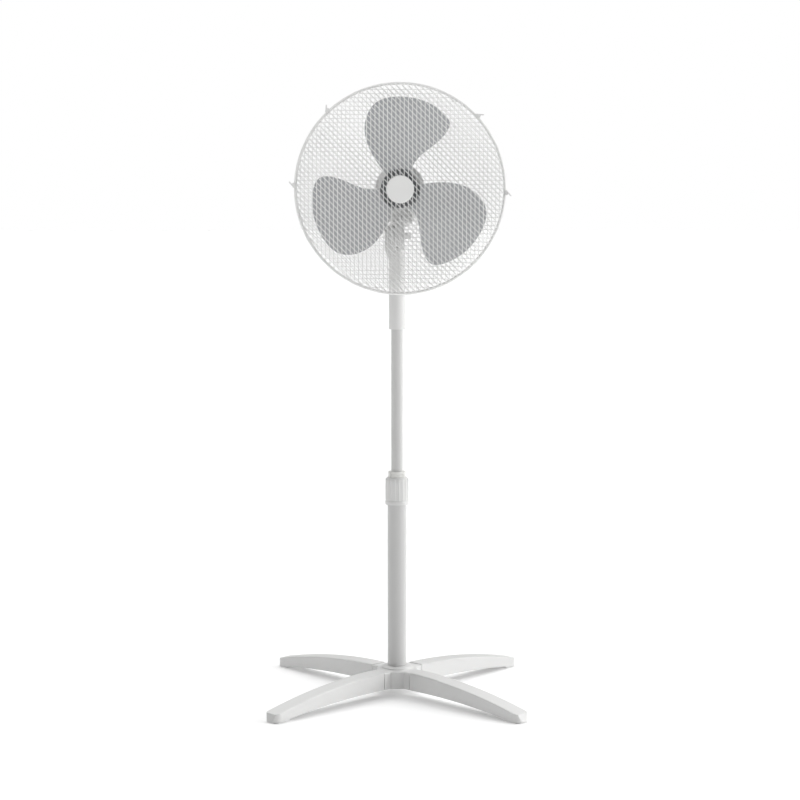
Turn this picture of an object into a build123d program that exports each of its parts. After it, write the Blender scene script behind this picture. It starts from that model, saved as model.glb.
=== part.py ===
from build123d import *
import math
import os

# Pedestal fan with a four-legged cross base, a telescopic mast and a caged three-blade rotor.
# +Z is up, the floor is Z = 0, the mast stands on the Z axis and the fan blows towards -Y.

# ---- base ----
leg_angles = {"front_left": 225, "front_right": 315, "back_left": 135, "back_right": 45}
leg_width = 38.0
leg_start = 56.5            # distance of the leg's inner end from the mast axis
leg_end = 362.0             # distance of the foot's toe from the mast axis
leg_wall = 3.2
toe_radius = 17.0
leg_middle = 200.0          # where the leg arcs are given their middle heights
leg_top_middle = 45.8
leg_under_middle = 15.4
hub_radius = 43.0
hub_bottom = 17.0
hub_top = 53.0
hub_arm_end = 55.0
boss_radius = 33.0
boss_top = 60.0
socket_floor = 25.0
pocket_start = 27.0
pocket_bottom = 25.0
pocket_height = 22.0
pocket_width = 26.0
foot_start = 326.0
foot_top = 18.5
toe_lean = 5.0              # the toe leans back this far over its height
foot_gap = 1.2              # the foot pad stands this far out of the foot

# ---- tubes and height clamp ----
lower_tube_radius = 19.7
upper_tube_radius = 12.0
tube_wall = 1.0
lower_tube_top = 448.6
upper_tube_bottom = 356.6
upper_tube_top = 925.0
collar_bottom = 404.6
collar_top = 461.6
collar_radius = 23.4
collar_ribs = 18
collet_radius = 18.25
collet_top = 474.1
stop_top = 396.0
running_gap = 0.05

# ---- neck and tilt joint ----
sleeve_bottom = 773.0
sleeve_radius = 16.75
tilt_z = 967.0
cheek_left = -25.4
cheek_right = -4.1
cheek_radius = 21.0
knuckle_left = -3.8
knuckle_right = 16.0
knuckle_radius = 28.0
turntable_top = 994.8
turntable_radius = 20.0

# ---- head ----
head_x = 6.5                # the motor axis stands to the right of the mast axis
axis_z = 1065.0
motor_radius = 49.0
motor_wall = 2.5
motor_front = -30.0
motor_seam = 8.0
motor_back = 88.0
gearbox_bottom = 995.5
shaft_radius = 4.0
bearing_radius = 11.0
bearing_width = 7.0
rotor_radius = 21.0
wheel_x = head_x + 19.9
wheel_y = 64.5
wheel_radius = 14.0
wheel_teeth = 24
crank_throw = 8.0

# ---- guards ----
rim_radius = 212.2
rim_wire = 2.8              # radius of the rim wire
rear_rim_y = -91.5
front_rim_y = -97.5
wire_radius = 0.9
wire_pitch = 8.35
wire_step = 4               # the collision mesh keeps every fourth wire of the real pitch
layer_gap = 3.8             # between the axes of the two crossing layers of wire
front_dish = [(209.4, -101.6), (204.0, -128.0), (188.0, -146.0), (168.0, -150.0)]
rear_dish = [(209.4, -87.4), (197.0, -63.0), (160.0, -48.0), (52.0, -35.2)]
plate_radius = 50.5
cap_radius = 28.0

# ---- blades ----
blade_count = 3
blade_start = 54.0          # direction of the first blade's straight edge, in degrees from +X
blade_hub_radius = 39.0
# (radius, angle past the straight edge) round one blade, from the root out along the straight edge
blade_outline = [
    (36, 0), (100, 0), (146, -3.7), (166, -1.5), (178, 8), (184.3, 25),
    (185, 40), (179, 52), (165, 59), (140, 66.5), (100, 73.5), (36, 79),
]

# ---- guard clips ----
clip_angles = {"right": -2, "upper_right": 43, "upper_left": 133, "left": 178}

os.makedirs("parts", exist_ok=True)


def save(builder, name):
    builder.part.label = name
    export_step(builder.part, "parts/" + name + ".step")


def leg_plane(angle):
    """Upright plane along a leg: local x runs outwards, local y runs up."""
    turn = math.radians(angle)
    return Plane(
        origin=(0, 0, 0),
        x_dir=(math.cos(turn), math.sin(turn), 0),
        z_dir=(math.sin(turn), -math.cos(turn), 0),
    )


def leg_floor_plane(angle, height):
    """Level plane turned along a leg."""
    turn = math.radians(angle)
    return Plane(origin=(0, 0, height), x_dir=(math.cos(turn), math.sin(turn), 0), z_dir=(0, 0, 1))


def head_plane(depth):
    """Upright plane square to the motor axis, at Y = depth; extrusions go forwards."""
    return Plane(origin=(head_x, depth, axis_z), x_dir=(1, 0, 0), z_dir=(0, -1, 0))


# Half plane through the motor axis: local x is Y, local y is the distance from the axis.
head_section = Plane(origin=(head_x, 0, axis_z), x_dir=(0, 1, 0), z_dir=(1, 0, 0))
head_axis = Axis((head_x, 0, axis_z), (0, 1, 0))
tilt_section = Plane(origin=(0, 0, tilt_z), x_dir=(0, 1, 0), z_dir=(1, 0, 0))


def ring(name, inner, outer, low, high):
    """Plain ring or bush round the motor axis, from Y = low to Y = high."""
    with BuildPart() as body:
        with BuildSketch(head_plane(high)):
            Circle(outer)
            if inner > 0:
                Circle(inner, mode=Mode.SUBTRACT)
        extrude(amount=high - low)
    save(body, name)


# ================= base =================

with BuildPart() as base_hub:
    with BuildSketch(Plane.XY.offset(hub_bottom)):
        Circle(hub_radius)
        for angle in leg_angles.values():
            with Locations(Rotation(0, 0, angle)):
                with Locations((hub_arm_end / 2, 0)):
                    Rectangle(hub_arm_end, leg_width)
    extrude(amount=hub_top - hub_bottom)
    fillet(base_hub.faces().sort_by(Axis.Z)[-1].outer_wire().edges(), radius=2.5)
    with BuildSketch(Plane.XZ):
        with BuildLine():
            Polyline((0, hub_top - 1), (boss_radius + 6, hub_top - 1), (boss_radius, hub_top + 1.8))
            Polyline((boss_radius, hub_top + 1.8), (boss_radius - 1, hub_top + 4))
            ThreePointArc(
                (boss_radius - 1, hub_top + 4),
                (boss_radius - 4.5, boss_top - 0.8),
                (boss_radius - 9, boss_top),
            )
            Polyline((boss_radius - 9, boss_top), (0, boss_top), (0, hub_top - 1))
        make_face()
    revolve(axis=Axis.Z)
    with BuildSketch(Plane.XY.offset(socket_floor)):
        Circle(lower_tube_radius + running_gap)
    extrude(amount=boss_top, mode=Mode.SUBTRACT)
    with BuildSketch(Plane.XY.offset(hub_bottom)):
        Circle(4.2)
    extrude(amount=socket_floor, mode=Mode.SUBTRACT)
    for angle in leg_angles.values():
        with BuildSketch(leg_floor_plane(angle, pocket_bottom)):
            with Locations(((pocket_start + hub_arm_end + 5) / 2, 0)):
                Rectangle(hub_arm_end + 5 - pocket_start, pocket_width)
        extrude(amount=pocket_height, mode=Mode.SUBTRACT)
        with BuildSketch(leg_floor_plane(angle, hub_bottom)):
            with Locations((34, 0), (47, 0)):
                Circle(2.6)
        extrude(amount=pocket_bottom - hub_bottom + 1, mode=Mode.SUBTRACT)
        with BuildSketch(leg_floor_plane(angle, hub_bottom)):
            with Locations((34, 0), (47, 0)):
                Circle(4.8)
        extrude(amount=3, mode=Mode.SUBTRACT)
save(base_hub, "base_hub")

for place, angle in leg_angles.items():
    with BuildPart() as leg:
        with BuildSketch(leg_plane(angle)):
            with BuildLine():
                ThreePointArc((leg_start, hub_top + 1), (leg_middle, leg_top_middle), (leg_end - toe_lean, foot_top))
                Polyline(
                    (leg_end - toe_lean, foot_top),
                    (leg_end, foot_gap),
                    (foot_start, foot_gap),
                    (foot_start - 3, foot_gap + 3.6),
                )
                ThreePointArc((foot_start - 3, foot_gap + 3.6), (leg_middle, leg_under_middle), (leg_start, hub_bottom))
                Line((leg_start, hub_bottom), (leg_start, hub_top + 1))
            make_face()
        extrude(amount=leg_width / 2, both=True)
        top_arcs = leg.edges().filter_by(GeomType.CIRCLE).sort_by(Axis.Z)[-2:]
        fillet(top_arcs, radius=2.5)
        with BuildSketch(leg_floor_plane(angle, 0)):
            with BuildLine():
                half = leg_width / 2
                Polyline((leg_end - toe_radius, half), (leg_start - 1, half), (leg_start - 1, -half),
                         (leg_end - toe_radius, -half))
                RadiusArc((leg_end - toe_radius, -half), (leg_end, -half + toe_radius), -toe_radius)
                Line((leg_end, -half + toe_radius), (leg_end, half - toe_radius))
                RadiusArc((leg_end, half - toe_radius), (leg_end - toe_radius, half), -toe_radius)
            make_face()
        extrude(amount=100, mode=Mode.INTERSECT)
        with BuildSketch(leg_plane(angle)):
            with BuildLine():
                ThreePointArc((leg_start + 6, hub_top - 3), (leg_middle, leg_top_middle - 3.7), (foot_start - 10, foot_top + 2))
                Polyline((foot_start - 10, foot_top + 2), (foot_start - 10, -5), (leg_start + 6, -5),
                         (leg_start + 6, hub_top - 3))
            make_face()
        extrude(amount=leg_width / 2 - leg_wall, both=True, mode=Mode.SUBTRACT)
        with BuildSketch(leg_floor_plane(angle, pocket_bottom + 0.1)):
            with Locations(((pocket_start + 0.4 + leg_start + 1) / 2, 0)):
                Rectangle(leg_start + 0.6 - pocket_start, pocket_width - 0.2)
        extrude(amount=pocket_height - 0.2)
        with BuildSketch(leg_floor_plane(angle, pocket_bottom)):
            with Locations((34, 0), (47, 0)):
                Circle(2.55)
        extrude(amount=15, mode=Mode.SUBTRACT)
        with BuildSketch(leg_floor_plane(angle, 0)):
            with Locations(((foot_start + leg_end) / 2, 0)):
                RectangleRounded(leg_end - foot_start - 8, leg_width - 8, 7)
        extrude(amount=foot_gap + 2, mode=Mode.SUBTRACT)
    save(leg, "leg_" + place)

with BuildPart() as foot_pads:
    for angle in leg_angles.values():
        with BuildSketch(leg_floor_plane(angle, 0)):
            with Locations(((foot_start + leg_end) / 2, 0)):
                RectangleRounded(leg_end - foot_start - 8.2, leg_width - 8.2, 6.9)
        extrude(amount=foot_gap + 2)
save(foot_pads, "foot_pads")

with BuildPart() as leg_screws:
    for angle in leg_angles.values():
        with BuildSketch(leg_floor_plane(angle, hub_bottom + 0.4)):
            with Locations((34, 0), (47, 0)):
                Circle(4.6)
        extrude(amount=2.6)
        with BuildSketch(leg_floor_plane(angle, hub_bottom + 3)):
            with Locations((34, 0), (47, 0)):
                Circle(2.5)
        extrude(amount=19)
        with BuildSketch(leg_floor_plane(angle, hub_bottom + 0.4)):
            with Locations((34, 0), (47, 0)):
                Rectangle(5, 1)
                Rectangle(1, 5)
        extrude(amount=1.4, mode=Mode.SUBTRACT)
save(leg_screws, "leg_screws")

with BuildPart() as base_washer:
    with BuildSketch(Plane.XY.offset(hub_bottom - 1.6)):
        Circle(12)
        Circle(4.2, mode=Mode.SUBTRACT)
    extrude(amount=1.6)
save(base_washer, "base_washer")

with BuildPart() as base_bolt:
    with BuildSketch(Plane.XY.offset(hub_bottom - 7.6)):
        RegularPolygon(7.5, 6)
    extrude(amount=6)
    chamfer(base_bolt.edges().group_by(Axis.Z)[0], length=0.6)
    with BuildSketch(Plane.XY.offset(hub_bottom - 1.6)):
        Circle(4)
    extrude(amount=32)
save(base_bolt, "base_bolt")

with BuildPart() as tube_plug:
    with BuildSketch(Plane.XY.offset(socket_floor)):
        Circle(lower_tube_radius - tube_wall - 0.05)
        Circle(4.05, mode=Mode.SUBTRACT)
    extrude(amount=30)
    chamfer(tube_plug.edges().group_by(Axis.Z)[-1], length=1)
save(tube_plug, "tube_plug")

# ================= tubes and height clamp =================

with BuildPart() as lower_tube:
    with BuildSketch(Plane.XY.offset(socket_floor)):
        Circle(lower_tube_radius)
        Circle(lower_tube_radius - tube_wall, mode=Mode.SUBTRACT)
    extrude(amount=lower_tube_top - socket_floor)
save(lower_tube, "lower_tube")

with BuildPart() as guide_bush:
    with BuildSketch(Plane.XZ):
        with BuildLine():
            bore = upper_tube_radius + running_gap
            Polyline(
                (bore, stop_top + 0.6),
                (lower_tube_radius - tube_wall - 0.05, stop_top + 0.6),
                (lower_tube_radius - tube_wall - 0.05, lower_tube_top),
                (lower_tube_radius, lower_tube_top),
                (lower_tube_radius, lower_tube_top + 3.5),
                (collet_radius, lower_tube_top + 3.5),
                (collet_radius, collet_top - 6.5),
                (collet_radius - 0.8, collet_top - 6),
                (collet_radius - 0.8, collet_top - 5),
                (collet_radius, collet_top - 4.5),
                (collet_radius, collet_top - 1),
                (collet_radius - 1, collet_top),
                (bore, collet_top),
                (bore, stop_top + 0.6),
            )
        make_face()
    revolve(axis=Axis.Z)
    for angle in (0, 90):
        with BuildSketch(leg_floor_plane(angle + 45, lower_tube_top + 8)):
            Rectangle(60, 1.6)
        extrude(amount=40, mode=Mode.SUBTRACT)
save(guide_bush, "guide_bush")

with BuildPart() as height_collar:
    with BuildSketch(Plane.XZ):
        with BuildLine():
            Polyline(
                (lower_tube_radius + 0.35, collar_bottom),
                (collar_radius + 1.2, collar_bottom),
                (collar_radius + 1.2, collar_bottom + 6),
                (collar_radius, collar_bottom + 8.5),
                (collar_radius - 0.3, collar_top - 7),
            )
            ThreePointArc(
                (collar_radius - 0.3, collar_top - 7),
                (collar_radius - 1.5, collar_top - 2.2),
                (collet_radius + 2.2, collar_top),
            )
            Polyline(
                (collet_radius + 2.2, collar_top),
                (collet_radius + 0.3, collar_top),
                (collet_radius + 0.3, lower_tube_top + 6),
                (lower_tube_radius + 0.35, lower_tube_top + 4),
                (lower_tube_radius + 0.35, collar_bottom),
            )
        make_face()
    revolve(axis=Axis.Z)
    with BuildSketch(Plane.XY.offset(collar_bottom + 9)):
        with PolarLocations(collar_radius - 0.6, collar_ribs):
            Circle(1.3)
    extrude(amount=45)
save(height_collar, "height_collar")

with BuildPart() as upper_tube:
    with BuildSketch(Plane.XY.offset(upper_tube_bottom)):
        Circle(upper_tube_radius)
        Circle(upper_tube_radius - tube_wall, mode=Mode.SUBTRACT)
    extrude(amount=upper_tube_top - upper_tube_bottom)
save(upper_tube, "upper_tube")

with BuildPart() as stop_bush:
    with BuildSketch(Plane.XY.offset(upper_tube_bottom + 4)):
        Circle(lower_tube_radius - tube_wall - 0.1)
        Circle(upper_tube_radius, mode=Mode.SUBTRACT)
    extrude(amount=stop_top - upper_tube_bottom - 4)
save(stop_bush, "stop_bush")

# ================= neck and tilt joint =================

with BuildPart() as neck_sleeve:
    with BuildSketch(Plane.XY.offset(sleeve_bottom)):
        Circle(sleeve_radius)
    extrude(amount=tilt_z - cheek_radius - sleeve_bottom)
    with BuildSketch(Plane.YZ.offset(cheek_left)):
        with Locations((0, tilt_z)):
            Circle(cheek_radius)
        with Locations((0, 915)):
            Rectangle(2 * sleeve_radius - 4, 24)
        make_hull()
    extrude(amount=cheek_right - cheek_left)
    # The outer face of the cheek blends down into the column.
    with BuildSketch(Plane.XZ.offset(-60)):
        with BuildLine():
            Polyline(
                (cheek_left + 3, tilt_z + 40),
                (cheek_left, tilt_z + 14),
                (cheek_left, tilt_z - 24),
            )
            Spline(
                (cheek_left, tilt_z - 24),
                (cheek_left + 3, tilt_z - 36),
                (-sleeve_radius, tilt_z - 52),
                tangents=((0, -1), (0, -1)),
            )
            Polyline(
                (-sleeve_radius, tilt_z - 52),
                (-sleeve_radius, sleeve_bottom - 5),
                (sleeve_radius, sleeve_bottom - 5),
                (sleeve_radius, tilt_z + 40),
                (cheek_left + 3, tilt_z + 40),
            )
        make_face()
    extrude(amount=120, mode=Mode.INTERSECT)
    # Room for the knuckle beside the cheek.
    with BuildSketch(Plane.YZ.offset(cheek_right)):
        with Locations((0, tilt_z)):
            Circle(knuckle_radius + 1)
    extrude(amount=40, mode=Mode.SUBTRACT)
    with BuildSketch(Plane.XY.offset(sleeve_bottom - 1)):
        Circle(upper_tube_radius + 0.02)
    extrude(amount=upper_tube_top - sleeve_bottom + 1, mode=Mode.SUBTRACT)
    with BuildSketch(Plane.YZ.offset(cheek_left - 1)):
        with Locations((0, tilt_z)):
            Circle(shaft_radius + running_gap)
    extrude(amount=40, mode=Mode.SUBTRACT)
    with BuildSketch(Plane.YZ.offset(cheek_left - 1)):
        with Locations((0, tilt_z)):
            RegularPolygon(7.6, 6)
    extrude(amount=8.5, mode=Mode.SUBTRACT)
    with BuildSketch(Plane.XZ.offset(-30)):
        with Locations((0, sleeve_bottom + 40), (0, sleeve_bottom + 110)):
            Circle(2.1)
    extrude(amount=30 - upper_tube_radius, mode=Mode.SUBTRACT)
    with BuildSketch(Plane.XZ.offset(-30)):
        with Locations((0, sleeve_bottom + 40), (0, sleeve_bottom + 110)):
            Circle(3.7)
    extrude(amount=30 - upper_tube_radius - 2.2, mode=Mode.SUBTRACT)
save(neck_sleeve, "neck_sleeve")

with BuildPart() as neck_screws:
    with BuildSketch(Plane.XZ.offset(-upper_tube_radius - 4.4)):
        with Locations((0, sleeve_bottom + 40), (0, sleeve_bottom + 110)):
            Circle(3.5)
    extrude(amount=2.1)
    with BuildSketch(Plane.XZ.offset(-upper_tube_radius - 2.3)):
        with Locations((0, sleeve_bottom + 40), (0, sleeve_bottom + 110)):
            Circle(2.05)
    extrude(amount=2.2)
save(neck_screws, "neck_screws")

with BuildPart() as tilt_nut:
    with BuildSketch(Plane.YZ.offset(cheek_left + 1)):
        with Locations((0, tilt_z)):
            RegularPolygon(7.4, 6)
            Circle(shaft_radius + running_gap, mode=Mode.SUBTRACT)
    extrude(amount=6.4)
save(tilt_nut, "tilt_nut")

with BuildPart() as tilt_bolt:
    with BuildSketch(Plane.YZ.offset(cheek_left + 2)):
        with Locations((0, tilt_z)):
            Circle(shaft_radius)
    extrude(amount=knuckle_right + 9 - cheek_left - 2)
save(tilt_bolt, "tilt_bolt")

with BuildPart() as tilt_knob:
    with BuildSketch(Plane.YZ.offset(knuckle_right + 0.5)):
        with Locations((0, tilt_z)):
            Circle(7.2)
            with PolarLocations(7.2, 8):
                Circle(1.2, mode=Mode.SUBTRACT)
    extrude(amount=13)
    chamfer(tilt_knob.faces().sort_by(Axis.X)[-1].edges(), length=0.8)
    with BuildSketch(Plane.YZ.offset(knuckle_right + 0.5)):
        with Locations((0, tilt_z)):
            Circle(shaft_radius)
    extrude(amount=8.5, mode=Mode.SUBTRACT)
save(tilt_knob, "tilt_knob")

with BuildPart() as tilt_bracket:
    with BuildSketch(Plane.YZ.offset(knuckle_left)):
        with Locations((0, tilt_z)):
            Circle(knuckle_radius)
    extrude(amount=knuckle_right - knuckle_left)
    with BuildSketch(Plane.XY.offset(turntable_top - 5.2)):
        with Locations((head_x, 0)):
            Circle(turntable_radius)
    extrude(amount=10)
    split(bisect_by=Plane.XY.offset(turntable_top), keep=Keep.BOTTOM)
    # The lug that holds the still end of the crank link.
    with BuildSketch(Plane.XY.offset(976)):
        with Locations((head_x, 26)):
            Rectangle(11, 14)
    extrude(amount=8)
    with BuildSketch(Plane.XY.offset(973)):
        with Locations((head_x, 0)):
            Circle(6.02)
    extrude(amount=40, mode=Mode.SUBTRACT)
    with BuildSketch(Plane.YZ.offset(knuckle_left - 1)):
        with Locations((0, tilt_z)):
            Circle(shaft_radius + running_gap)
    extrude(amount=40, mode=Mode.SUBTRACT)
save(tilt_bracket, "tilt_bracket")

with BuildPart() as oscillation_pin:
    with BuildSketch(Plane.XY.offset(973)):
        with Locations((head_x, 0)):
            Circle(6)
    extrude(amount=39.4)
    chamfer(oscillation_pin.edges().group_by(Axis.Z)[-1], length=0.6)
    with BuildSketch(Plane.XY.offset(1010.3)):
        with Locations((head_x, 0)):
            Circle(7)
            Circle(5.2, mode=Mode.SUBTRACT)
    extrude(amount=1.2, mode=Mode.SUBTRACT)
save(oscillation_pin, "oscillation_pin")

with BuildPart() as pin_circlip:
    with BuildSketch(Plane.XY.offset(1010.35)):
        with Locations((head_x, 0)):
            Circle(8.6)
            Circle(5.25, mode=Mode.SUBTRACT)
        with Locations((head_x, 8)):
            Rectangle(5, 8, mode=Mode.SUBTRACT)
    extrude(amount=1.1)
save(pin_circlip, "pin_circlip")

with BuildPart() as crank_link:
    with BuildSketch(Plane.XY.offset(984)):
        with Locations((head_x, 28), (wheel_x - crank_throw, wheel_y)):
            Circle(5)
        make_hull()
        with Locations((head_x, 28), (wheel_x - crank_throw, wheel_y)):
            Circle(2.6, mode=Mode.SUBTRACT)
    extrude(amount=3)
save(crank_link, "crank_link")

# ================= gearbox and motor =================

with BuildPart() as gearbox_housing:
    with BuildSketch(Plane.XY.offset(gearbox_bottom)):
        with Locations((head_x, 23.2)):
            RectangleRounded(66, 105.4, 14)
    extrude(amount=36)
    fillet(gearbox_housing.edges().group_by(Axis.Z)[0], radius=3)
    with BuildSketch(head_plane(120)):
        Circle(motor_radius + 0.2)
    extrude(amount=200, mode=Mode.SUBTRACT)
    with BuildSketch(Plane.XY.offset(gearbox_bottom - 1)):
        with Locations((head_x, 0)):
            Circle(6 + running_gap)
        with Locations((wheel_x, wheel_y)):
            Circle(3 + running_gap)
    extrude(amount=60, mode=Mode.SUBTRACT)
    with BuildSketch(Plane.XY.offset(1010)):
        with Locations((head_x, 0)):
            Circle(10)
    extrude(amount=10, mode=Mode.SUBTRACT)
    # Cooling slots across the front wall.
    with BuildSketch(Plane.XZ.offset(30)):
        with Locations(*[(head_x + 12.5 * step, 1008.5) for step in (-1.5, -0.5, 0.5, 1.5)]):
            RectangleRounded(9, 4.6, 1.5)
    extrude(amount=-8, mode=Mode.SUBTRACT)
    with BuildSketch(Plane.XZ.offset(-77)):
        with Locations((head_x - 20, 1006)):
            Circle(6.5)
    extrude(amount=12, mode=Mode.SUBTRACT)
save(gearbox_housing, "gearbox_housing")

with BuildPart() as cord_gland:
    with BuildSketch(Plane.XZ.offset(-66)):
        with Locations((head_x - 20, 1006)):
            Circle(6.4)
            Circle(3.6, mode=Mode.SUBTRACT)
    extrude(amount=-10)
    with BuildSketch(Plane.XZ.offset(-76)):
        with Locations((head_x - 20, 1006)):
            Circle(8)
            Circle(3.6, mode=Mode.SUBTRACT)
    extrude(amount=-4)
    fillet(cord_gland.edges().group_by(Axis.Y)[-1], radius=1)
save(cord_gland, "cord_gland")

with BuildPart() as motor_front_cover:
    with BuildSketch(head_section):
        with BuildLine():
            Polyline(
                (motor_front, 0),
                (motor_front, motor_radius - 4),
                (motor_front + 4, motor_radius),
                (motor_seam, motor_radius),
                (motor_seam, motor_radius - motor_wall),
                (motor_front + 4, motor_radius - motor_wall),
                (motor_front + 4, 0),
                (motor_front, 0),
            )
        make_face()
    revolve(axis=head_axis)
    with BuildSketch(head_plane(motor_front)):
        Circle(15)
    extrude(amount=20)
    with BuildSketch(head_plane(motor_front + 4)):
        Circle(bearing_radius)
    extrude(amount=bearing_width, mode=Mode.SUBTRACT)
    with BuildSketch(head_plane(motor_front + 4)):
        Circle(6)
    extrude(amount=40, mode=Mode.SUBTRACT)
save(motor_front_cover, "motor_front_cover")

with BuildPart() as motor_rear_cover:
    with BuildSketch(head_plane(motor_back)):
        Circle(motor_radius)
    extrude(amount=motor_back - motor_seam)
    fillet(motor_rear_cover.edges().group_by(Axis.Y)[-1], radius=6)
    with BuildSketch(head_plane(motor_back - motor_wall)):
        Circle(motor_radius - motor_wall)
    extrude(amount=motor_back - motor_wall - motor_seam, mode=Mode.SUBTRACT)
    with BuildSketch(head_plane(motor_back + 1)):
        with PolarLocations(30, 24):
            RectangleRounded(13, 2.6, 1.2)
        Circle(3.4)
    extrude(amount=10, mode=Mode.SUBTRACT)
    with BuildSketch(head_plane(motor_back + 1)):
        with PolarLocations(40.5, 3, start_angle=90):
            Circle(1.8)
    extrude(amount=10, mode=Mode.SUBTRACT)
    with BuildSketch(head_plane(motor_back + 1)):
        with PolarLocations(40.5, 3, start_angle=90):
            Circle(3.1)
    extrude(amount=2.2, mode=Mode.SUBTRACT)
    with BuildSketch(Plane.XY.offset(axis_z - 60)):
        with Locations((wheel_x, wheel_y)):
            Circle(4.5)
    extrude(amount=30, mode=Mode.SUBTRACT)
    with BuildSketch(Plane.XY.offset(axis_z + 30)):
        with Locations((head_x, 56)):
            Circle(3.8)
    extrude(amount=30, mode=Mode.SUBTRACT)
save(motor_rear_cover, "motor_rear_cover")

with BuildPart() as cover_screws:
    with BuildSketch(head_plane(motor_back - 0.1)):
        with PolarLocations(40.5, 3, start_angle=90):
            Circle(2.9)
    extrude(amount=1)
    with BuildSketch(head_plane(motor_back - 1.1)):
        with PolarLocations(40.5, 3, start_angle=90):
            Circle(1.7)
    extrude(amount=9)
save(cover_screws, "cover_screws")

with BuildPart() as rear_bearing_bracket:
    with BuildSketch(head_plane(42)):
        Circle(motor_radius - motor_wall - 0.1)
        Circle(5, mode=Mode.SUBTRACT)
        with PolarLocations(31, 6):
            Circle(8, mode=Mode.SUBTRACT)
    extrude(amount=3)
    with BuildSketch(head_plane(50)):
        Circle(14)
        Circle(5, mode=Mode.SUBTRACT)
    extrude(amount=9)
    with BuildSketch(head_plane(50)):
        Circle(bearing_radius)
    extrude(amount=bearing_width, mode=Mode.SUBTRACT)
save(rear_bearing_bracket, "rear_bearing_bracket")

ring("front_bearing", shaft_radius + running_gap, bearing_radius - 0.02,
     motor_front + 4 - bearing_width, motor_front + 4)
ring("rear_bearing", shaft_radius + running_gap, bearing_radius - 0.02, 50 - bearing_width, 50)

with BuildPart() as stator_core:
    with BuildSketch(head_plane(24)):
        Circle(motor_radius - motor_wall - 0.1)
        Circle(rotor_radius + 0.6, mode=Mode.SUBTRACT)
        with PolarLocations(31, 12):
            RectangleRounded(12, 7, 2, mode=Mode.SUBTRACT)
    extrude(amount=32)
save(stator_core, "stator_core")

with BuildPart() as stator_windings:
    with BuildSketch(head_section):
        for low, high in ((-19, -8.2), (24.2, 35)):
            with Locations(((low + high) / 2, 33)):
                RectangleRounded(high - low, 17, 4)
    revolve(axis=head_axis)
save(stator_windings, "stator_windings")

with BuildPart() as rotary_switch:
    with BuildSketch(head_plane(motor_back - motor_wall - 0.1)):
        RectangleRounded(26, 24, 2)
        Circle(3.05, mode=Mode.SUBTRACT)
    extrude(amount=8.5)
save(rotary_switch, "rotary_switch")

with BuildPart() as run_capacitor:
    with BuildSketch(head_plane(77)):
        with Locations((-25, -21)):
            Circle(9)
    extrude(amount=24)
    fillet(run_capacitor.edges(), radius=1)
save(run_capacitor, "run_capacitor")

# ================= rotor =================

ring("motor_shaft", 0, shaft_radius, -128, 74)
ring("rotor_core", shaft_radius, rotor_radius, -8, 24)
ring("worm", shaft_radius, 5.5, 52, 72)

blade_turn = 38.0           # direction of the blade's middle line, past its straight edge
blade_rear = (-110, -60)    # (distance across, Y) of the leading side of the blade's curved section
blade_middle = (-16, -104)
blade_front = (76, -136)
blade_thickness = 2.0


def blade_point(radius, angle, start):
    turn = math.radians(start + angle)
    return (radius * math.cos(turn), radius * math.sin(turn))


def blade_body(start):
    """One pitched and cambered blade: a curved strip cut to the blade's outline."""
    middle = math.radians(start + blade_turn)
    along = (math.cos(middle), 0, math.sin(middle))
    across = (-math.sin(middle), 0, math.cos(middle))
    strip_plane = Plane(origin=(head_x, 0, axis_z), x_dir=across, z_dir=along)
    flip = strip_plane.y_dir.Y
    with BuildPart(mode=Mode.PRIVATE) as blade:
        with BuildSketch(strip_plane.offset(30)):
            with BuildLine():
                first = (blade_rear[0], flip * blade_rear[1])
                centre = (blade_middle[0], flip * blade_middle[1])
                last = (blade_front[0], flip * blade_front[1])
                shift = flip * blade_thickness
                ThreePointArc(first, centre, last)
                Line(last, (last[0], last[1] + shift))
                ThreePointArc(
                    (last[0], last[1] + shift),
                    (centre[0], centre[1] + shift),
                    (first[0], first[1] + shift),
                )
                Line((first[0], first[1] + shift), first)
            make_face()
        extrude(amount=170)
        with BuildSketch(head_plane(-40)):
            with BuildLine():
                Spline(*[blade_point(radius, angle, start) for radius, angle in blade_outline])
                Line(
                    blade_point(*blade_outline[-1], start),
                    blade_point(*blade_outline[0], start),
                )
            make_face()
        extrude(amount=110, mode=Mode.INTERSECT)
    return blade.part


blades = [blade_body(blade_start + 360 / blade_count * index) for index in range(blade_count)]

with BuildPart() as fan_blades:
    with BuildSketch(head_section):
        with BuildLine():
            Polyline(
                (-74, shaft_radius),
                (-74, blade_hub_radius),
                (-112, blade_hub_radius),
            )
            ThreePointArc((-112, blade_hub_radius), (-119, blade_hub_radius - 3), (-122, blade_hub_radius - 10))
            Polyline(
                (-122, blade_hub_radius - 10),
                (-122, shaft_radius),
                (-74, shaft_radius),
            )
        make_face()
    revolve(axis=head_axis)
    add(blades)
    with BuildSketch(head_section):
        with BuildLine():
            Polyline(
                (-70, 9),
                (-70, blade_hub_radius - 2.5),
                (-116, blade_hub_radius - 2.5),
                (-119, blade_hub_radius - 12),
                (-119, 9),
                (-70, 9),
            )
        make_face()
    revolve(axis=head_axis, mode=Mode.SUBTRACT)
    with BuildSketch(head_plane(-60)):
        Circle(shaft_radius)
    extrude(amount=90, mode=Mode.SUBTRACT)
save(fan_blades, "fan_blades")

with BuildPart() as blade_nut:
    with BuildSketch(head_plane(-122.1)):
        Circle(13)
        with PolarLocations(13, 10):
            Circle(1.5, mode=Mode.SUBTRACT)
    extrude(amount=11)
    fillet(blade_nut.faces().sort_by(Axis.Y)[0].edges(), radius=1)
    with BuildSketch(head_plane(-122.1)):
        Circle(shaft_radius)
    extrude(amount=6.5, mode=Mode.SUBTRACT)
save(blade_nut, "blade_nut")

# ================= oscillation drive =================

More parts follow.
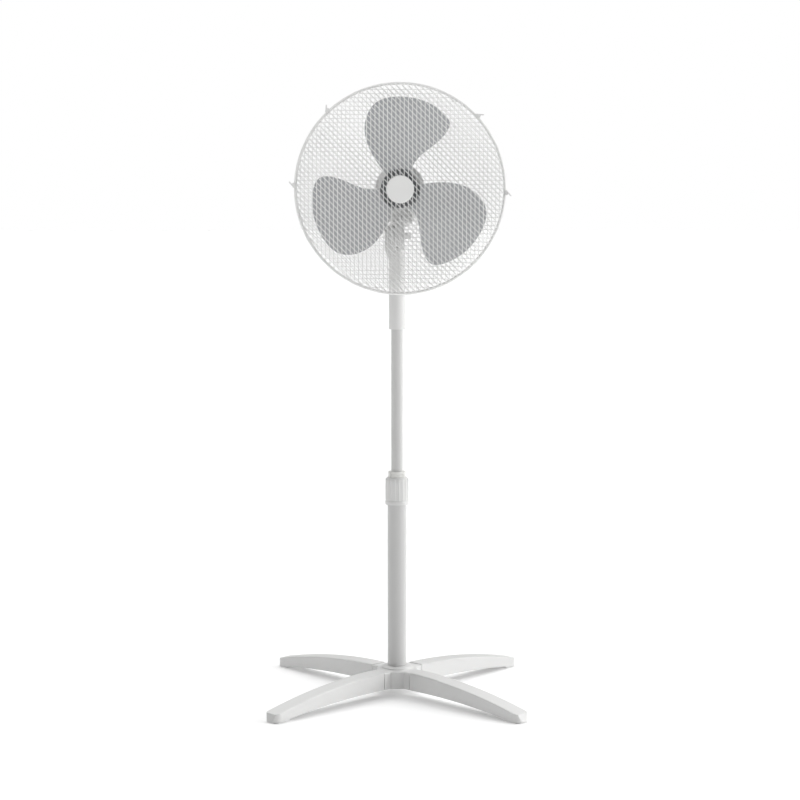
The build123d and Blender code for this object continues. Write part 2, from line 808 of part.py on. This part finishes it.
with BuildPart() as worm_wheel:
    with BuildSketch(Plane.XY.offset(axis_z - 3)):
        with Locations((wheel_x, wheel_y)):
            Circle(wheel_radius)
            with PolarLocations(wheel_radius, wheel_teeth):
                Rectangle(3, 1.7, mode=Mode.SUBTRACT)
    extrude(amount=6)
    with BuildSketch(Plane.XY.offset(993.5)):
        with Locations((wheel_x, wheel_y)):
            Circle(3)
    extrude(amount=axis_z + 6 - 993.5)
save(worm_wheel, "worm_wheel")

with BuildPart() as crank_disc:
    with BuildSketch(Plane.XY.offset(990)):
        with Locations((wheel_x, wheel_y)):
            Circle(12)
    extrude(amount=3.5)
    with BuildSketch(Plane.XY.offset(987.6)):
        with Locations((wheel_x - crank_throw, wheel_y)):
            Circle(2.5)
    extrude(amount=3)
save(crank_disc, "crank_disc")

with BuildPart() as oscillation_knob:
    with BuildSketch(Plane.XY.offset(1118)):
        with Locations((head_x, 56)):
            Circle(8)
    extrude(amount=17)
    fillet(oscillation_knob.edges().group_by(Axis.Z)[-1], radius=2)
    with BuildSketch(Plane.XY.offset(1118)):
        with Locations((head_x, 56)):
            with PolarLocations(8, 12):
                Circle(0.7, mode=Mode.ADD)
    extrude(amount=13)
    with BuildSketch(Plane.XY.offset(1096)):
        with Locations((head_x, 56)):
            Circle(3.5)
    extrude(amount=24)
save(oscillation_knob, "oscillation_knob")

with BuildPart() as speed_knob:
    with BuildSketch(head_plane(motor_back + 15)):
        Circle(15)
        with PolarLocations(15.6, 20):
            Circle(1.2, mode=Mode.SUBTRACT)
    extrude(amount=14.5)
    with BuildSketch(head_plane(motor_back + 17)):
        RectangleRounded(5, 26, 1.5)
    extrude(amount=3)
    with BuildSketch(head_plane(motor_back + 1)):
        Circle(3)
    extrude(amount=9)
save(speed_knob, "speed_knob")

# ================= guards =================


def dish_depth(radius, corners):
    """Depth of the dish at a radius, straight between its corners."""
    for (outer, outer_depth), (inner, inner_depth) in zip(corners, corners[1:]):
        if radius >= inner:
            share = (outer - radius) / (outer - inner)
            return outer_depth + share * (inner_depth - outer_depth)
    return corners[-1][1]


def wire_runs(offset, corners, stop_radius):
    """Corner points (along, depth) of the wire at this distance from the axis, in one or two runs."""
    side = [(math.sqrt(radius**2 - offset**2), depth) for radius, depth in corners if radius > abs(offset) + 4]
    if abs(offset) < stop_radius:
        side.append((math.sqrt(stop_radius**2 - offset**2), corners[-1][1]))
        return [side, [(-along, depth) for along, depth in side]]
    middle = []
    if abs(offset) > corners[-1][0]:
        middle = [(0, dish_depth(abs(offset), corners))]
    return [side + middle + [(-along, depth) for along, depth in reversed(side)]]


def wire_layer(direction, corners, stop_radius, inwards):
    """Bent wires that run along one direction of the mesh; inwards moves the layer into the dish."""
    turn = math.radians(direction)
    toward = -1 if corners[-1][1] > corners[0][1] else 1
    moved = [(radius - inwards, depth + toward * inwards) for radius, depth in corners]
    along = Vector(math.cos(turn), 0, math.sin(turn))
    across = Vector(-math.sin(turn), 0, math.cos(turn))
    spacing = wire_pitch * wire_step
    count = int(rim_radius / spacing)
    wires = []
    for index in range(-count, count + 1):
        offset = index * spacing
        for run in wire_runs(offset, moved, stop_radius):
            points = [
                Vector(head_x, 0, axis_z) + along * place + across * offset + Vector(0, depth, 0)
                for place, depth in run
            ]
            with BuildPart() as wire:
                with BuildLine() as path:
                    FilletPolyline(*points, radius=4)
                with BuildSketch(Plane(origin=path.line @ 0, z_dir=path.line % 0)):
                    Circle(wire_radius)
                sweep(path=path.line)
            wires.append(wire.part)
    return wires


front_wires = wire_layer(90, front_dish, 0, 0) + wire_layer(-45, front_dish, 0, layer_gap)
with BuildPart() as front_guard_wires:
    add(front_wires)
save(front_guard_wires, "front_guard_wires")

rear_wires = wire_layer(0, rear_dish, 46, 0) + wire_layer(-45, rear_dish, 46, layer_gap)
with BuildPart() as rear_guard_wires:
    add(rear_wires)
save(rear_guard_wires, "rear_guard_wires")

for name, depth in (("front_guard_rim", front_rim_y), ("rear_guard_rim", rear_rim_y)):
    with BuildPart() as rim:
        with BuildSketch(head_section):
            with Locations((depth, rim_radius)):
                Circle(rim_wire)
        revolve(axis=head_axis)
    save(rim, name)

ring("rear_guard_plate", 15.3, plate_radius, -33, motor_front)

with BuildPart() as guard_nut:
    with BuildSketch(head_plane(-38.4)):
        Circle(31)
        Circle(15.1, mode=Mode.SUBTRACT)
    extrude(amount=9)
    chamfer(guard_nut.faces().sort_by(Axis.Y)[0].edges(), length=0.8)
    with BuildSketch(head_plane(-38.4)):
        with PolarLocations(31, 12):
            Circle(3)
        Circle(29, mode=Mode.SUBTRACT)
    extrude(amount=7)
save(guard_nut, "guard_nut")

with BuildPart() as front_cap:
    with BuildSketch(head_plane(-151.2)):
        Circle(cap_radius)
    extrude(amount=6.8)
    fillet(front_cap.edges().group_by(Axis.Y)[0], radius=3)
    with BuildSketch(head_plane(-150)):
        with Locations((-12.5, 0), (12.5, 0)):
            Circle(1.55)
    extrude(amount=6, mode=Mode.SUBTRACT)
save(front_cap, "front_cap")

with BuildPart() as cap_retainer:
    with BuildSketch(head_plane(-142.8)):
        Circle(24)
        with Locations((-12.5, 0), (12.5, 0)):
            Circle(1.7, mode=Mode.SUBTRACT)
    extrude(amount=2.2)
save(cap_retainer, "cap_retainer")

with BuildPart() as cap_screws:
    with BuildSketch(head_plane(-141)):
        with Locations((-12.5, 0), (12.5, 0)):
            Circle(2.8)
    extrude(amount=1.7)
    with BuildSketch(head_plane(-142.7)):
        with Locations((-12.5, 0), (12.5, 0)):
            Circle(1.5)
    extrude(amount=12)
save(cap_screws, "cap_screws")

# ================= guard clips =================


def clip_plane(angle, depth):
    """Plane square to the motor axis at a rim clip: local x runs outwards, local y anticlockwise."""
    turn = math.radians(angle)
    return Plane(
        origin=(head_x + rim_radius * math.cos(turn), depth, axis_z + rim_radius * math.sin(turn)),
        x_dir=(math.cos(turn), 0, math.sin(turn)),
        z_dir=(0, -1, 0),
    )


clip_width = 10.0
clip_inner = rim_wire + 0.35
clip_outer = rim_wire + 2.0

for place, angle in clip_angles.items():
    turn = math.radians(angle)
    outwards = Vector(math.cos(turn), 0, math.sin(turn))
    clip_section = Plane(
        origin=(head_x + rim_radius * math.cos(turn), rear_rim_y, axis_z + rim_radius * math.sin(turn)),
        x_dir=outwards,
        z_dir=(-math.sin(turn), 0, math.cos(turn)),
    )
    side = clip_section.y_dir.Y
    front = side * (front_rim_y - rear_rim_y)
    with BuildPart() as guard_clip:
        # Saddle over both rims, round the rear rim and hooked over the front one.
        with BuildSketch(clip_section):
            with BuildLine():
                reach = side * math.sin(math.radians(45))
                Line((clip_inner, 0), (clip_inner, front))
                Polyline(
                    (clip_inner, front),
                    (clip_inner, front - side * (rim_wire + 0.7)),
                    (0.5, front - side * (rim_wire + 0.7)),
                    (0.5, front - side * (rim_wire + 2.2)),
                    (clip_outer, front - side * (rim_wire + 2.2)),
                    (clip_outer, 0),
                )
                ThreePointArc(
                    (clip_outer, 0),
                    (clip_outer * math.cos(math.radians(22.5)), side * clip_outer * math.sin(math.radians(22.5))),
                    (clip_outer * math.cos(math.radians(45)), clip_outer * reach),
                )
                Line(
                    (clip_outer * math.cos(math.radians(45)), clip_outer * reach),
                    (clip_inner * math.cos(math.radians(45)), clip_inner * reach),
                )
                ThreePointArc(
                    (clip_inner * math.cos(math.radians(45)), clip_inner * reach),
                    (clip_inner * math.cos(math.radians(22.5)), side * clip_inner * math.sin(math.radians(22.5))),
                    (clip_inner, 0),
                )
            make_face()
        extrude(amount=clip_width / 2, both=True)
        # Finger lever, leaning clockwise, and the short stay that props it.
        with BuildSketch(clip_plane(angle, -88.5)):
            with BuildLine():
                Polyline(
                    (clip_inner + 0.1, 4.4),
                    (clip_inner + 0.1, 1.6),
                    (clip_inner + 9.0, -7.2),
                    (clip_inner + 10.6, -5.6),
                    (clip_inner + 1.0, 4.4),
                    (clip_inner + 0.1, 4.4),
                )
            make_face()
            with BuildLine():
                Polyline(
                    (clip_inner + 0.1, -4.6),
                    (clip_inner + 1.2, -4.8),
                    (clip_inner + 5.4, -2.2),
                    (clip_inner + 4.4, -1.0),
                    (clip_inner + 0.1, -3.2),
                    (clip_inner + 0.1, -4.6),
                )
            make_face()
        extrude(amount=12)
    save(guard_clip, "guard_clip_" + place)
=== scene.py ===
import math

import bpy
import numpy as np
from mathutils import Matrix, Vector


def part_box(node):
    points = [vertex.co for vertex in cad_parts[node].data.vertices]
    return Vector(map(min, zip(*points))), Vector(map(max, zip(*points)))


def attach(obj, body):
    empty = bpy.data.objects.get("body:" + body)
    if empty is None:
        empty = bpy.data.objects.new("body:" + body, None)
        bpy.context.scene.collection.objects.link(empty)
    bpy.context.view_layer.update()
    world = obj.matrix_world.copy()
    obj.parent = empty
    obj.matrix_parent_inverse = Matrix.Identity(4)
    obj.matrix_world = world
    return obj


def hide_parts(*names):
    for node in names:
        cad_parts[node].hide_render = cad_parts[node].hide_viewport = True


# Pedestal fan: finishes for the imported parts, the full wire mesh of the guard, floor, light and camera.
# Metres, +Z up, the fan blows towards -Y.

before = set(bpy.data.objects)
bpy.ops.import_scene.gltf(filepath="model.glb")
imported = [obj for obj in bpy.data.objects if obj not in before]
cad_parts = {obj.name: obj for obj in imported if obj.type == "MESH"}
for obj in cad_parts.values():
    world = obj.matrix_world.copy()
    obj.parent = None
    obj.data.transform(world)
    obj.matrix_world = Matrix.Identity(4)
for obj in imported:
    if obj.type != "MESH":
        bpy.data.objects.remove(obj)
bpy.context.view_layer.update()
mm = 0.001

rimLow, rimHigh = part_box("front_guard_rim")
hubX = (rimLow.x + rimHigh.x) / 2      # the motor axis, in the middle of the rim
hubZ = (rimLow.z + rimHigh.z) / 2
print("frame loaded")


# nodes and colours
surfaceDetail = {
    "coatRoughness": 0.12,
    "glossier": 0.02,          # the gloss varies by this much below and above a finish's roughness
    "duller": 0.03,
    "grainDepth": 0.1 * mm,
    "bandDepth": 0.2 * mm,
    "bandDuller": 0.1,         # the gaps between bands are this much rougher
}

def linearColour(hexCode):
    # sRGB hex to linear: the low end is a straight line, the rest a 2.4 power
    shades = [int(hexCode[start:start + 2], 16) / 255 for start in (1, 3, 5)]
    return tuple(c / 12.92 if c <= 0.04045 else ((c + 0.055) / 1.055) ** 2.4 for c in shades) + (1.0,)


def addNode(tree, kind, settings=(), sockets=(), links=()):
    node = tree.nodes.new(kind)
    for name, value in dict(settings).items():
        setattr(node, name, value)
    for name, value in dict(sockets).items():
        node.inputs[name].default_value = value
    for name, source in dict(links).items():
        tree.links.new(source, node.inputs[name])
    return node


def startMaterial(name, shine):
    # an empty material with its shader, whose constant sockets are set here
    material = bpy.data.materials.new(name)
    material.use_nodes = True
    tree = material.node_tree
    tree.nodes.clear()
    shader = addNode(tree, "ShaderNodeBsdfPrincipled", sockets=shine)
    addNode(tree, "ShaderNodeOutputMaterial", links={"Surface": shader.outputs[0]})
    place = addNode(tree, "ShaderNodeTexCoord").outputs["Object"]
    return material, tree, shader, place


def grainedMaterial(name, look):
    # broad mottling of the colour and of the gloss, and a finer grain that only bends the light
    shine = {"IOR": look.get("ior", 1.5), "Metallic": look.get("metallic", 0.0)}
    shine["Coat Weight"] = look.get("coat", 0.0)
    shine["Coat Roughness"] = surfaceDetail["coatRoughness"]
    shine["Transmission Weight"] = look.get("seeThrough", 0.0)
    material, tree, shader, place = startMaterial(name, shine)
    broad = addNode(tree, "ShaderNodeTexNoise",
                    sockets={"Scale": 1 / (look["mottleMm"] * mm), "Detail": 3.0},
                    links={"Vector": place})
    colours = addNode(tree, "ShaderNodeMix", {"data_type": "RGBA"},
                      {6: linearColour(look["colour"]), 7: linearColour(look["shade"])},
                      {0: broad.outputs["Fac"]})
    tree.links.new(colours.outputs[2], shader.inputs["Base Color"])
    fine = addNode(tree, "ShaderNodeTexNoise",
                   sockets={"Scale": 1 / (look["grainMm"] * mm), "Detail": 2.0},
                   links={"Vector": place})
    gloss = addNode(tree, "ShaderNodeMapRange",
                    sockets={"To Min": look["roughness"] - surfaceDetail["glossier"],
                             "To Max": look["roughness"] + surfaceDetail["duller"]},
                    links={"Value": broad.outputs["Fac"]})
    tree.links.new(gloss.outputs["Result"], shader.inputs["Roughness"])
    bump = addNode(tree, "ShaderNodeBump",
                   sockets={"Strength": look["bump"], "Distance": surfaceDetail["grainDepth"]},
                   links={"Height": fine.outputs["Fac"]})
    tree.links.new(bump.outputs["Normal"], shader.inputs["Normal"])
    return material


def bandedMaterial(name, look):
    # thin bands along one axis: stacked sheets, or turns of wire. A wave of scale s repeats every
    # 2 pi / 20 s, so a band and the gap beside it take bandMm each
    shine = {"Metallic": look["metallic"]}
    material, tree, shader, place = startMaterial(name, shine)
    bands = addNode(tree, "ShaderNodeTexWave", {"bands_direction": look["along"]},
                    {"Scale": 1 / (look["bandMm"] * mm) / 20 * math.pi, "Distortion": 0.4, "Detail": 1.0},
                    {"Vector": place})
    colours = addNode(tree, "ShaderNodeMix", {"data_type": "RGBA"},
                      {6: linearColour(look["shade"]), 7: linearColour(look["colour"])},
                      {0: bands.outputs["Fac"]})
    tree.links.new(colours.outputs[2], shader.inputs["Base Color"])
    gloss = addNode(tree, "ShaderNodeMapRange",
                    sockets={"To Min": look["roughness"] + surfaceDetail["bandDuller"],
                             "To Max": look["roughness"]},
                    links={"Value": bands.outputs["Fac"]})
    tree.links.new(gloss.outputs["Result"], shader.inputs["Roughness"])
    bump = addNode(tree, "ShaderNodeBump", sockets={"Strength": 0.5, "Distance": surfaceDetail["bandDepth"]},
                   links={"Height": bands.outputs["Fac"]})
    tree.links.new(bump.outputs["Normal"], shader.inputs["Normal"])
    return material


# finishes

# moulded ABS from a lightly spark-eroded tool: white, satin, with a fine even grain of 0.6 mm,
# drawn 1.2 mm to show
mouldedAbs = grainedMaterial("moulded_abs", {
    "colour": "#E2E2E1", "shade": "#DDDDDC", "mottleMm": 60, "roughness": 0.34, "ior": 1.53,
    "grainMm": 1.2, "bump": 0.05})
# glossier ABS of the motor housing: polished tool, clear soft highlights
polishedAbs = grainedMaterial("polished_abs", {
    "colour": "#E4E4E3", "shade": "#DFDFDE", "mottleMm": 45, "roughness": 0.22, "ior": 1.53,
    "grainMm": 2.0, "bump": 0.03})
# epoxy powder coat on steel tube: orange peel about 2 mm across
powderCoat = grainedMaterial("powder_coated_steel", {
    "colour": "#D0D0CF", "shade": "#CECECD", "mottleMm": 80, "roughness": 0.28, "ior": 1.52,
    "grainMm": 2.2, "bump": 0.08})
# dip-coated wire: thick soft coat, fuller at the crossings, so a slow waviness in the gloss
coatedWire = grainedMaterial("dip_coated_wire", {
    "colour": "#EAEAE9", "shade": "#E4E4E3", "mottleMm": 12, "roughness": 0.36, "ior": 1.5,
    "grainMm": 3.0, "bump": 0.06})
# pale smoke-grey styrene acrylonitrile, moulded and polished: lets some light through, glossy
smokedSan = grainedMaterial("smoked_san", {
    "colour": "#CFD1D3", "shade": "#C8CACC", "mottleMm": 70, "roughness": 0.16, "ior": 1.57,
    "grainMm": 5.0, "bump": 0.02, "seeThrough": 0.35})


def paintHubShade(material, look):
    # painted shade: colour by distance from the motor axis, darker on the hub, standing in for the shade the
    # front cap casts into the hollow round it; the thick hub also lets less light through than the thin
    # blades
    tree = material.node_tree
    shader = next(node for node in tree.nodes if node.type == "BSDF_PRINCIPLED")
    bladeColour = shader.inputs["Base Color"].links[0].from_socket
    place = addNode(tree, "ShaderNodeTexCoord").outputs["Object"]
    fromAxis = addNode(tree, "ShaderNodeVectorMath", {"operation": "SUBTRACT"},
                       {1: (hubX, 0, hubZ)}, {0: place})
    flat = addNode(tree, "ShaderNodeVectorMath", {"operation": "MULTIPLY"},
                   {1: (1, 0, 1)}, {0: fromAxis.outputs[0]})
    radius = addNode(tree, "ShaderNodeVectorMath", {"operation": "LENGTH"}, links={0: flat.outputs[0]})
    share = addNode(tree, "ShaderNodeMapRange",
                    sockets={"From Min": look["hubEdge"], "From Max": look["bladeStart"]},
                    links={"Value": radius.outputs["Value"]})
    mixed = addNode(tree, "ShaderNodeMix", {"data_type": "RGBA"}, {6: linearColour(look["paintedHubShade"])},
                    {0: share.outputs["Result"], 7: bladeColour})
    tree.links.new(mixed.outputs[2], shader.inputs["Base Color"])


# painted shade: the blade hub is coloured dark from 39.2 mm inwards, for the shade under the front cap
paintHubShade(smokedSan, {"hubEdge": 39.2 * mm, "bladeStart": 42 * mm, "paintedHubShade": "#6E7072"})
# thermoplastic rubber of the foot pads: soft grey, quite rough
padRubber = grainedMaterial("pad_rubber", {
    "colour": "#8E8E8C", "shade": "#7E7E7C", "mottleMm": 6, "roughness": 0.72, "ior": 1.5,
    "grainMm": 0.8, "bump": 0.2})
# natural nylon: milky, waxy
mouldedNylon = grainedMaterial("moulded_nylon", {
    "colour": "#EAEAE7", "shade": "#E3E3E0", "mottleMm": 20, "roughness": 0.45, "ior": 1.53,
    "grainMm": 1.0, "bump": 0.06})
# bright zinc plate: pale and cloudy
zincPlate = grainedMaterial("zinc_plated_steel", {
    "colour": "#D0D0CF", "shade": "#BFC0C0", "mottleMm": 5, "roughness": 0.32, "metallic": 1.0,
    "grainMm": 0.7, "bump": 0.05})
# phenolic of the switch and the capacitor can: near black, dull
blackPhenolic = grainedMaterial("black_phenolic", {
    "colour": "#26272A", "shade": "#1D1E20", "mottleMm": 10, "roughness": 0.5, "ior": 1.6,
    "grainMm": 0.8, "bump": 0.1})
# stator and rotor stacks: 0.5 mm sheets, drawn 1 mm thick with 1 mm gaps to show
sheetStack = bandedMaterial("electrical_steel_stack", {
    "colour": "#8C8F94", "shade": "#54575C", "metallic": 0.9, "roughness": 0.4, "bandMm": 1.0, "along": "Y"})
# enamelled winding wire of 0.8 mm laid side by side, drawn with gaps as wide as the wire to show
windingWire = bandedMaterial("enamelled_copper", {
    "colour": "#B8642C", "shade": "#6E3414", "metallic": 0.8, "roughness": 0.3, "bandMm": 0.8, "along": "X"})

legNodes = ["leg_front_left", "leg_front_right", "leg_back_left", "leg_back_right"]
clipNodes = ["guard_clip_right", "guard_clip_upper_right", "guard_clip_upper_left", "guard_clip_left"]
finishedNodes = [
    (mouldedAbs, legNodes + clipNodes),
    (mouldedAbs, ["base_hub", "height_collar", "neck_sleeve", "tilt_knob", "tilt_bracket",
                  "oscillation_knob", "speed_knob", "guard_nut"]),
    (polishedAbs, ["motor_front_cover", "motor_rear_cover", "gearbox_housing", "front_cap"]),
    (powderCoat, ["lower_tube", "upper_tube"]),
    (coatedWire, ["front_guard_rim", "rear_guard_rim", "rear_guard_plate", "front_guard_wires",
                  "rear_guard_wires"]),
    (smokedSan, ["fan_blades"]),
    (padRubber, [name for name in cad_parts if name.startswith("foot_pad")] + ["cord_gland"]),
    (mouldedNylon, ["tube_plug", "guide_bush", "stop_bush", "blade_nut", "worm_wheel", "cap_retainer"]),
    (zincPlate, ["leg_screws", "base_washer", "base_bolt", "neck_screws", "tilt_nut", "tilt_bolt",
                 "oscillation_pin", "pin_circlip", "crank_link", "crank_disc", "cover_screws",
                 "rear_bearing_bracket", "front_bearing", "rear_bearing", "motor_shaft", "worm",
                 "cap_screws"]),
    (blackPhenolic, ["rotary_switch", "run_capacitor"]),
    (sheetStack, ["stator_core", "rotor_core"]),
    (windingWire, ["stator_windings"]),
]
for material, names in finishedNodes:
    for name in names:
        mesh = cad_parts[name].data
        mesh.materials.clear()
        mesh.materials.append(material)
print("finishes on", sum(len(names) for _, names in finishedNodes), "nodes")


# guard mesh

guardMesh = {
    "pitch": 8.35 * mm,        # between neighbouring wires
    "wireRadius": 0.8 * mm,
    "sides": 6,                # faces round a wire
    "steps": 36,               # rings along a wire
    "endGap": 3.0 * mm,        # no wire is laid nearer the rim than this
    "layerLift": 1.6 * mm,     # between the axes of two crossing layers, which touch
    "hubStop": 46 * mm,        # the rear wires stop here, on the plate
}
# (radius, Y) in mm along each dish from the rim inwards, turned into metres
frontDish = np.array([(211.4, -97.9), (209.6, -102.5), (204, -128), (198, -139), (188, -146), (176, -149.4),
                      (160, -150), (0, -150)]) * mm
rearDish = np.array([(211.4, -91.1), (209.4, -86.5), (204, -75), (197, -64), (188, -57.5), (160, -48),
                     (52, -35.2), (44, -34.4), (0, -34.4)]) * mm


def dishDepth(radius, dish):
    # depth of the dish at a radius: straight between its points, evened out by averaging over 3 mm each side
    offsets = np.linspace(-3, 3, 7) * mm
    inward = dish[::-1]
    spread = np.clip(radius[..., None] + offsets, 0, dish[0, 0])
    return np.interp(spread, inward[:, 0], inward[:, 1]).mean(axis=-1)


def wireMesh(name, layers, dish, stopRadius):
    # each wire is a circle carried along its path: x' runs along the wire, its distance from the axis is
    # sqrt(x'^2 + d^2), and the dish gives the depth there. All wires of a layer are worked out as one array.
    points, faces, start = [], [], 0
    for direction, lift in layers:
        turn = math.radians(direction)
        along = np.array([math.cos(turn), 0, math.sin(turn)])
        across = np.array([-math.sin(turn), 0, math.cos(turn)])
        outer = dish[0, 0]
        count = int((outer - guardMesh["endGap"]) / guardMesh["pitch"])
        places = np.arange(-count, count + 1) * guardMesh["pitch"]
        spans = []
        for place in places:
            reach = math.sqrt(outer ** 2 - place ** 2)
            if abs(place) < stopRadius:
                inner = math.sqrt(stopRadius ** 2 - place ** 2)
                spans += [(place, -reach, -inner), (place, inner, reach)]
            else:
                spans.append((place, -reach, reach))
        place, low, high = np.array(spans).T
        share = np.linspace(0, 1, guardMesh["steps"])
        # rings crowd towards the rim, where the wire bends
        crowded = 0.5 - 0.5 * np.cos(np.pi * share)
        run = low[:, None] + (high - low)[:, None] * crowded
        radius = np.sqrt(run ** 2 + place[:, None] ** 2)
        depth = dishDepth(radius, dish) + lift
        centre = run[..., None] * along + place[:, None, None] * across
        centre[..., 1] = depth
        centre += np.array([hubX, 0, hubZ])
        tangent = np.gradient(centre, axis=1)
        tangent /= np.linalg.norm(tangent, axis=-1, keepdims=True)
        normal = np.cross(tangent, across)
        normal /= np.linalg.norm(normal, axis=-1, keepdims=True)
        side = np.cross(tangent, normal)
        angles = np.linspace(0, 2 * math.pi, guardMesh["sides"], endpoint=False)
        rings = centre[:, :, None] + guardMesh["wireRadius"] * (
            np.cos(angles)[:, None] * normal[:, :, None] + np.sin(angles)[:, None] * side[:, :, None])
        wires, steps, sides = rings.shape[:3]
        index = np.arange(wires * steps * sides).reshape(wires, steps, sides) + start
        nextSide = np.roll(index, -1, axis=2)
        quads = np.stack([index[:, :-1], nextSide[:, :-1], nextSide[:, 1:], index[:, 1:]], axis=-1)
        quads = quads.reshape(-1, 4)
        points.append(rings.reshape(-1, 3))
        faces += quads.tolist() + index[:, 0, ::-1].tolist() + index[:, -1].tolist()
        start += wires * steps * sides
    mesh = bpy.data.meshes.new(name)
    mesh.from_pydata(np.concatenate(points).tolist(), [], faces)
    mesh.polygons.foreach_set("use_smooth", np.ones(len(mesh.polygons), bool))
    mesh.materials.append(coatedWire)
    piece = bpy.data.objects.new(name, mesh)
    bpy.context.scene.collection.objects.link(piece)
    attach(piece, "head")
    return piece


layerLift = guardMesh["layerLift"]
frontMesh = wireMesh("front_guard_mesh", [(90, layerLift), (-45, 0)], frontDish, 0)
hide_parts("front_guard_wires")
rearMesh = wireMesh("rear_guard_mesh", [(0, 0), (-45, -layerLift)], rearDish, guardMesh["hubStop"])
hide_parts("rear_guard_wires")
print("guard mesh of", len(frontMesh.data.polygons) + len(rearMesh.data.polygons), "faces")


# floor, light and camera

studio = {
    "floorSize": 60.0,
    "floorGlow": 0.18,         # a lit sweep never goes dark under a thin object
    "roomGlow": 0.05,          # the dim room between the lights
    "headLightPlace": (-0.25, -0.75, 1.45),
    "headLightSize": 0.7,
    "headLightWatts": 2.2,
    "cameraPlace": (0.0064, -4.5416, 1.1259),
    "cameraDip": 6.306,        # degrees below level
    "lens": 98.28,
}

# soft boxes far off in the room: (towards, strength, tightness)
softBoxes = [
    ((1.0, 0.0, 0.25), 4.4, 8),        # the main one, square to the right
    ((-1.0, 0.0, 0.25), 0.5, 4),       # a weak fill from the left
    ((0.0, 0.5, 1.0), 3.6, 8),         # overhead, leaning back
]

half = studio["floorSize"] / 2
floorMesh = bpy.data.meshes.new("floor")
floorCorners = [(-half, -half, 0), (half, -half, 0), (half, half, 0), (-half, half, 0)]
floorMesh.from_pydata(floorCorners, [], [(0, 1, 2, 3)])
floor = bpy.data.objects.new("floor", floorMesh)
bpy.context.scene.collection.objects.link(floor)
# matt white paint on a studio sweep
floorPaint = startMaterial("studio_floor_paint", {
    "Roughness": 0.9, "Specular IOR Level": 0.1, "Base Color": linearColour("#F2F2F2"),
    "Emission Color": (1, 1, 1, 1), "Emission Strength": studio["floorGlow"]})[0]
floorMesh.materials.append(floorPaint)

world = bpy.data.worlds.new("studio_room")
bpy.context.scene.world = world
world.use_nodes = True
room = world.node_tree
room.nodes.clear()
way = addNode(room, "ShaderNodeTexCoord").outputs["Generated"]
# each box adds strength * (direction . towards, never under 0) ^ tightness to the room's own glow
glow = None
for towards, strength, tightness in softBoxes:
    size = math.sqrt(sum(part * part for part in towards))
    facing = addNode(room, "ShaderNodeVectorMath", {"operation": "DOT_PRODUCT"},
                     {1: tuple(part / size for part in towards)}, {0: way})
    front = addNode(room, "ShaderNodeMath", {"operation": "MAXIMUM"}, {1: 0.0}, {0: facing.outputs["Value"]})
    lobe = addNode(room, "ShaderNodeMath", {"operation": "POWER"}, {1: tightness}, {0: front.outputs[0]})
    added = addNode(room, "ShaderNodeMath", {"operation": "MULTIPLY_ADD"},
                    {1: strength, 2: studio["roomGlow"]}, {0: lobe.outputs[0]})
    if glow:
        room.links.new(glow, added.inputs[2])
    glow = added.outputs[0]
white = (1, 1, 1, 1)
roomLight = addNode(room, "ShaderNodeBackground", sockets={"Color": white}, links={"Strength": glow})
plainWhite = addNode(room, "ShaderNodeBackground", sockets={"Color": white, "Strength": 1.0})
seen = addNode(room, "ShaderNodeLightPath").outputs["Is Camera Ray"]
shown = addNode(room, "ShaderNodeMixShader",
                links={0: seen, 1: roomLight.outputs[0], 2: plainWhite.outputs[0]})
addNode(room, "ShaderNodeOutputWorld", links={"Surface": shown.outputs[0]})

# a soft box above and in front of the head, which brightens the head and fades down the mast
headLight = bpy.data.objects.new("head_light", bpy.data.lights.new("head_light", "AREA"))
bpy.context.scene.collection.objects.link(headLight)
headLight.data.size = studio["headLightSize"]
headLight.data.energy = studio["headLightWatts"]
headLight.location = studio["headLightPlace"]
aim = Vector((hubX, 0, hubZ)) - Vector(studio["headLightPlace"])
headLight.rotation_euler = aim.to_track_quat("-Z", "Y").to_euler()
headLight.visible_camera = False

camera = bpy.data.objects.new("camera", bpy.data.cameras.new("camera"))
bpy.context.scene.collection.objects.link(camera)
camera.data.lens = studio["lens"]
camera.data.sensor_width = 36
camera.location = studio["cameraPlace"]
camera.rotation_euler = (math.radians(90 - studio["cameraDip"]), 0, 0)
bpy.context.scene.camera = camera
bpy.context.scene.view_settings.view_transform = "Standard"
print("studio ready")
